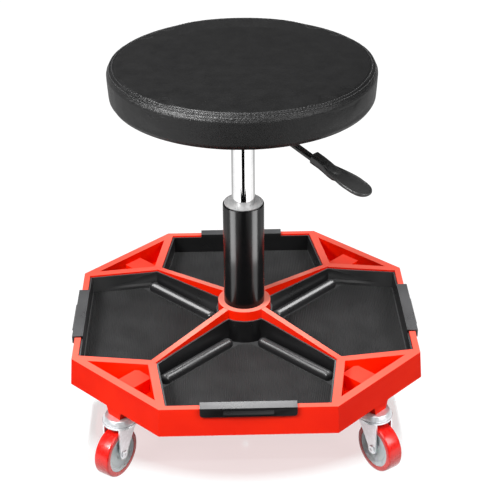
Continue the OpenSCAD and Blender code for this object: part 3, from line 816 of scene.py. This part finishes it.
def paddle_socket(bm, start, radius, around=40):
    """The rounded square sleeve that takes the rod, lofted through its stations"""
    loops = []
    for distance, across, drop, upward, square in SOCKET:
        loop = []
        for k in range(around):
            a = 2 * math.pi * k / around
            c, d = math.cos(a), math.sin(a)
            y = radius * across * math.copysign(abs(c) ** (2 / square), c)
            v = radius * upward * math.copysign(abs(d) ** (2 / square), d)
            loop.append(bm.verts.new((start + distance * MM, y, drop * MM + v)))
        loops.append(loop)
    for a, b in zip(loops, loops[1:]):
        for face in band(a, b):
            bm.faces.new(face)
    bm.faces.new(loops[0][::-1])
    bm.faces.new(loops[-1])


def paddle_blade(bm, start, tip, neck, half):
    """The dished blade with its raised rim and round end, from its neck to its full half width"""
    steps, across = 60, 24
    widening, closing, rim_in = 50 * MM, 26 * MM, 1.1 * MM
    end = half - rim_in
    grid = {}
    for i in range(steps + 1):
        s = start + (tip - start) * (1 - (1 - i / steps) ** 1.15)
        grow = min(1.0, max(0.0, (s - start) / widening))
        width = neck + (half - neck) * (grow * grow * (3 - 2 * grow))
        width -= rim_in * max(0.0, (s - (tip - closing)) / closing)
        if s > tip - end:
            width = math.sqrt(max(end ** 2 - (s - (tip - end)) ** 2, (0.4 * MM) ** 2))
        for j in range(across + 1):
            y = width * math.sin(math.pi / 2 * (2 * j / across - 1))
            edge = end - math.hypot(max(0.0, s - (tip - end)), y) if s > tip - end else width - abs(y)
            lift = 1.5 * MM + 0.6 * MM * grow
            rim = 0.9 * MM * bell(edge - 1.5 * MM, 1.1 * MM)
            dish = -0.35 * MM * (1 - bell(edge, 4.5 * MM)) * grow
            roll = 2.1 * MM * (1 - math.sqrt(max(0.0, 1 - (1 - min(edge, 1.6 * MM) / (1.6 * MM)) ** 2)))
            belly = 3.4 * MM - roll * 0.9
            grid["top", i, j] = bm.verts.new((s, y, lift + rim + dish - roll))
            grid["low", i, j] = bm.verts.new((s, y, lift - belly))
    for i in range(steps):
        for j in range(across):
            bm.faces.new([grid["top", i + p, j + q] for p, q in ((0, 0), (1, 0), (1, 1), (0, 1))])
            bm.faces.new([grid["low", i + p, j + q] for p, q in ((0, 0), (0, 1), (1, 1), (1, 0))])
        for j, order in ((0, 1), (across, -1)):
            side = [grid["top", i, j], grid["low", i, j], grid["low", i + 1, j], grid["top", i + 1, j]]
            bm.faces.new(side[::order])
    for i, order in ((0, -1), (steps, 1)):
        for j in range(across):
            side = [grid["top", i, j], grid["low", i, j], grid["low", i, j + 1], grid["top", i, j + 1]]
            bm.faces.new(side[::order])


def lever_paddle():
    """Socket and blade melted into one moulding along the rod's own line"""
    joint = JOINTS["lever_lift"]
    pivot, hinge = Vector(joint["pos_m"]), Vector(joint["axis"])
    rod = points_of("lever_rod") - np.array(pivot)
    out = Vector(np.array(high("lever_paddle") + low("lever_paddle")) / 2) - pivot
    along = Vector(rod[np.argsort(rod @ np.array(out))[-40:]].mean(0)).normalized()
    up = along.cross(hinge).normalized()
    if up.z < 0:
        up = -up
    side = up.cross(along)
    place = Matrix.Translation(pivot) @ Matrix((along, side, up)).transposed().to_4x4()
    lo, hi, _ = extents("lever_paddle", place)
    radius = 6.75 * MM
    bm = bmesh.new()
    paddle_socket(bm, lo[0], radius)
    paddle_blade(bm, lo[0] + 8 * MM, hi[0], radius * 0.85, hi[1])
    bmesh.ops.recalc_face_normals(bm, faces=bm.faces)
    bmesh.ops.transform(bm, matrix=place, verts=bm.verts)
    mesh = bpy.data.meshes.new("paddle")
    bm.to_mesh(mesh)
    bm.free()
    obj = bpy.data.objects.new("lever_paddle_moulded", mesh)
    scene.collection.objects.link(obj)
    remesh = obj.modifiers.new("voxels", "REMESH")
    remesh.mode, remesh.voxel_size = "VOXEL", 0.42 * MM
    smooth = obj.modifiers.new("melt", "SMOOTH")
    smooth.factor, smooth.iterations = 0.5, 7
    apply_modifiers(obj)
    scene.collection.objects.unlink(obj)
    smooth_shade(obj.data, 180)
    dress(obj, "paddle_plastic", "lever", ["lever_paddle"])


lever_paddle()


# ---- Casters -------------------------------------------------------------------------------

def mirrored(half, middle=()):
    """A ring's section from its lower half"""
    return [*half, *middle, *((r, -z, rounding) for r, z, rounding in reversed(half))]


def caster(corner):
    """Tyre and wheel turned about the wheel's own axle, and the pressed fork"""
    spin = JOINTS[f"wheel_spin_{corner}"]
    hub = axis_frame(spin["pos_m"], spin["axis"], (0, 0, 1))
    lo, hi, tyre_r = extents(f"tyre_{corner}", hub)
    _, core_hi, core_r = extents(f"wheel_core_{corner}", hub)
    half, hub_half = (hi[2] - lo[2]) / 2, core_hi[2]
    tyre = mirrored([(core_r, -half + 0.2 * MM, 0), (core_r + 0.6 * MM, -half, 0.3 * MM),
                     (tyre_r - 0.2 * MM, -half, 3.4 * MM)], [(tyre_r, 0, 30 * MM)])
    turned(f"tyre_{corner}_skin", tyre, "tyre_red", f"wheel_{corner}", [f"tyre_{corner}"], 144, hub, steps=6)
    bore, boss, rim, outside = 3.08 * MM, 7.5 * MM, core_r - 2.0 * MM, core_r - 0.02 * MM
    web, side = half - 3.0 * MM, half - 0.5 * MM
    core = mirrored([
        (bore, -hub_half, 0), (boss - MM, -hub_half, 0.4 * MM), (boss, -web, 0.8 * MM),
        (rim - 5 * MM, -web - 0.2 * MM, 1.2 * MM), (rim - 4 * MM, -web + 0.5 * MM, 0.6 * MM),
        (rim - 1.2 * MM, -web + 0.5 * MM, 0.8 * MM), (rim, -side, 0.6 * MM), (outside, -side, 0.4 * MM)])
    turned(f"wheel_core_{corner}_skin", core, "wheel_plastic", f"wheel_{corner}", [f"wheel_core_{corner}"],
           128, hub, steps=4)
    softened(f"fork_{corner}", "zinc_steel", 0.4 * MM)
    softened(f"axle_{corner}", "zinc_steel", 0.3 * MM)


for corner in CORNERS:
    caster(corner)
softened("swivel_cups", "zinc_steel", 0.25 * MM, angle=24)


# ---- Camera, floor and light ---------------------------------------------------------------

RIM_Z = high("tray_base").z - 18 * MM
SENSOR_WIDTH, LENS = 36.0, 97.995
EYE = Vector((-0.0257, -1.4538, 0.89828 + RIM_Z))
PITCH, HEADING, ROLL = (math.radians(turn) for turn in (29.15, 1.31, -0.40))
WHITE = (1.0, 1.0, 1.0)


def camera():
    """The photograph's own viewpoint, found from the octagon and the wheels"""
    data = bpy.data.cameras.new("camera")
    data.sensor_width, data.lens = SENSOR_WIDTH, LENS
    obj = bpy.data.objects.new("camera", data)
    scene.collection.objects.link(obj)
    level = math.cos(PITCH)
    forward = Vector((math.sin(HEADING) * level, math.cos(HEADING) * level, -math.sin(PITCH)))
    flat = Vector((math.cos(HEADING), -math.sin(HEADING), 0))
    right = math.cos(ROLL) * flat + math.sin(ROLL) * flat.cross(forward)
    top = right.cross(forward)
    turn = Matrix((right, top, -forward)).transposed().to_4x4()
    obj.matrix_world = Matrix.Translation(EYE) @ turn
    scene.camera = obj


def softbox(name, azimuth, elevation, distance, width, height, power, aim=(0, 0, 0.25)):
    """An area light; azimuth 0 is in front of the stool and 90 is on its right"""
    data = bpy.data.lights.new(name, "AREA")
    data.shape, data.size, data.size_y, data.energy = "RECTANGLE", width, height, power
    obj = bpy.data.objects.new(name, data)
    scene.collection.objects.link(obj)
    a, e = math.radians(azimuth), math.radians(elevation)
    away = Vector((math.sin(a) * math.cos(e), -math.cos(a) * math.cos(e), math.sin(e)))
    obj.location = Vector(aim) + away * distance
    obj.rotation_mode = "QUATERNION"
    obj.rotation_quaternion = away.to_track_quat("Z", "Y")
    obj.visible_camera = False
    return obj


def only_on(light, *pieces, shadows=True):
    """Keeps a light to these pieces; without shadows, only the floor's gloss may shade them from it"""
    lit = bpy.data.collections.new(f"{light.name}_lit")
    for obj in pieces:
        lit.objects.link(obj)
    light.light_linking.receiver_collection = lit
    if not shadows:
        shading = bpy.data.collections.new(f"{light.name}_shading")
        shading.objects.link(bpy.data.objects["floor_gloss"])
        light.light_linking.blocker_collection = shading


def panel(name, corners, mat):
    mesh = bpy.data.meshes.new(name)
    mesh.from_pydata(corners, [], [tuple(range(len(corners)))])
    mesh.materials.append(mat)
    obj = bpy.data.objects.new(name, mesh)
    scene.collection.objects.link(obj)
    return obj


def card(name, corners, strength, tint=WHITE):
    """A flat panel that only reflections see"""
    mat = bpy.data.materials.new(name)
    mat.use_nodes = True
    tree = mat.node_tree
    tree.nodes.clear()
    glow = tree.nodes.new("ShaderNodeEmission")
    glow.inputs["Strength"].default_value = strength
    glow.inputs["Color"].default_value = (*tint, 1.0)
    tree.links.new(glow.outputs[0], tree.nodes.new("ShaderNodeOutputMaterial").inputs["Surface"])
    obj = panel(name, corners, mat)
    for ray in ("camera", "diffuse", "shadow", "transmission"):
        setattr(obj, f"visible_{ray}", False)


def fan(name, near, far, half_angle):
    """A black card under the floor's gloss, which the upright tubes mirror"""
    spread, z = math.tan(math.radians(half_angle)), -MM
    card(name, [(-far * spread, -far, z), (far * spread, -far, z), (near * spread, -near, z),
                (-near * spread, -near, z)], 0.0)


def floor_card(name, half, y0, y1, z, strength):
    card(name, [(-half, y0, z), (half, y0, z), (half, y1, z), (-half, y1, z)], strength)


def plane(name, z, look):
    size = 12.0
    obj = panel(name, [(-size, -size, z), (size, -size, z), (size, size, z), (-size, size, z)], look.mat)
    return obj


def wall_facing_front(node):
    """The middle and the outward direction of the widest wall in a node's back half that faces the front"""
    bm = node_bmesh(node)
    middle = (low(node).y + high(node).y) / 2
    walls = [f for f in bm.faces if abs(f.normal.z) < 0.1 and f.calc_center_median().y > middle]
    best = max(walls, key=lambda f: (-f.normal.y) ** 5 * f.calc_area())
    found = best.calc_center_bounds(), best.normal.copy()
    bm.free()
    return found


def floor_and_cards():
    """A white floor under a gloss that mirrors the stool and the cards below it, and nothing else; a near-black
    card under the base plate is painted shade of the floor beneath the tray, and a glowing red octagon just
    under the tray is a painted reflection of the tray
    """
    floor = plane("floor", -2 * MM, pale_floor())
    floor.visible_diffuse = False
    gloss = plane("floor_gloss", -0.02 * MM, floor_gloss())
    gloss.visible_diffuse = gloss.visible_shadow = False
    near, far, end = 0.20, 0.54, 1.05
    fan("dark_card_near", near, far, 27)
    fan("dark_card_far", far, end, 14)
    floor_card("white_card_front", 3, -3, -0.14, -1.5 * MM, 1.45)
    floor_card("grey_card_back", 3, 0.25, 4, -MM, 0.55)
    # Painted shade: a near-black card under the base plate, which the metal above mirrors in place of the
    # shaded floor beneath the tray
    floor_card("painted_shade_card_under", 0.11, -0.11, 0.11, -MM, 0.04)
    # Painted reflection: a glowing red octagon just under the tray, seen only in reflections, which the floor's
    # gloss mirrors in place of the tray's own underside
    side, short = high("tray_base").x * 0.96, high("tray_base").x * 0.40
    octagon = [(side, -short), (side, short), (short, side), (-short, side), (-side, short), (-side, -short),
               (-short, -side), (short, -side)]
    under = low("base_plate").z - 3 * MM
    card("painted_reflection_red_card", [(x, y, under) for x, y in octagon], 1.0, (0.42, 0.06, 0.05))


def liner_lights():
    """The sheen on the black liners, whose walls mirror what stands behind and above the stool"""
    liners = {side: bpy.data.objects[f"liner_{side}_skin"] for side in SIDES}
    only_on(softbox("back", 180, 64, 2.4, 6.0, 1.7, 420), *liners.values(), shadows=False)
    lip = (0, low("liner_front").y + 6 * MM, RIM_Z)
    only_on(softbox("lip_glow", 180, 31, 0.12, 0.13, 0.03, 0.10, lip), liners["front"], shadows=False)
    cover = bpy.data.objects["seat_cushion_cover"]
    only_on(softbox("seat_glint", -60, 50, 1.2, 0.4, 0.4, 42, (0, 0, 0.45)), cover)
    eye = scene.camera.matrix_world.translation
    for side in ("left", "right"):
        wall, out = wall_facing_front(f"liner_{side}")
        mirror = out.to_3d() * 2 * out.dot(eye - wall) - (eye - wall)
        azimuth = math.degrees(math.atan2(mirror.x, -mirror.y))
        elevation = math.degrees(math.asin(mirror.normalized().z))
        glint = softbox(f"glint_{side}", azimuth, elevation, 0.13, 18 * MM, 0.10, 0.12, wall)
        only_on(glint, liners[side], shadows=False)


def column_strips():
    """Two upright strips close to each side of the column, brighter at the top"""
    column, top = bpy.data.objects["column_tube_skin"], high("column_tube").z
    bands = (("upper", 130 * MM, top - 40 * MM, 1.0), ("lower", 80 * MM, top - 145 * MM, 0.18))
    for side, power in ((-1, 0.27), (1, 0.25)):
        for name, height, z, share in bands:
            only_on(softbox(f"strip_{name}_{side + 1}", 55 * side, 0, 85 * MM, 42 * MM, height, power * share,
                            (0, 0, z)), column)


def white_room():
    """A white backdrop for the camera and a dim one for everything else"""
    world = bpy.data.worlds.new("studio")
    world.use_nodes = True
    tree = world.node_tree
    room, seen = tree.nodes["Background"], tree.nodes.new("ShaderNodeBackground")
    for node, strength in ((room, 0.15), (seen, 1.0)):
        node.inputs["Color"].default_value = (*WHITE, 1.0)
        node.inputs["Strength"].default_value = strength
    choose = tree.nodes.new("ShaderNodeMixShader")
    tree.links.new(tree.nodes.new("ShaderNodeLightPath").outputs["Is Camera Ray"], choose.inputs[0])
    tree.links.new(room.outputs[0], choose.inputs[1])
    tree.links.new(seen.outputs[0], choose.inputs[2])
    tree.links.new(choose.outputs[0], tree.nodes["World Output"].inputs["Surface"])
    scene.world = world
    scene.view_settings.view_transform = "Standard"


def studio():
    floor_and_cards()
    softbox("key", -50, 42, 2.2, 0.9, 0.7, 62)
    softbox("fill", 52, 36, 2.2, 1.1, 1.1, 38)
    softbox("top", 0, 80, 2.4, 1.6, 1.6, 24)
    liner_lights()
    only_on(softbox("floor_glow", 180, 29, 4.0, 2.4, 2.6, 22, (0, 0, 0)), bpy.data.objects["floor_gloss"])
    column_strips()
    white_room()


camera()
studio()
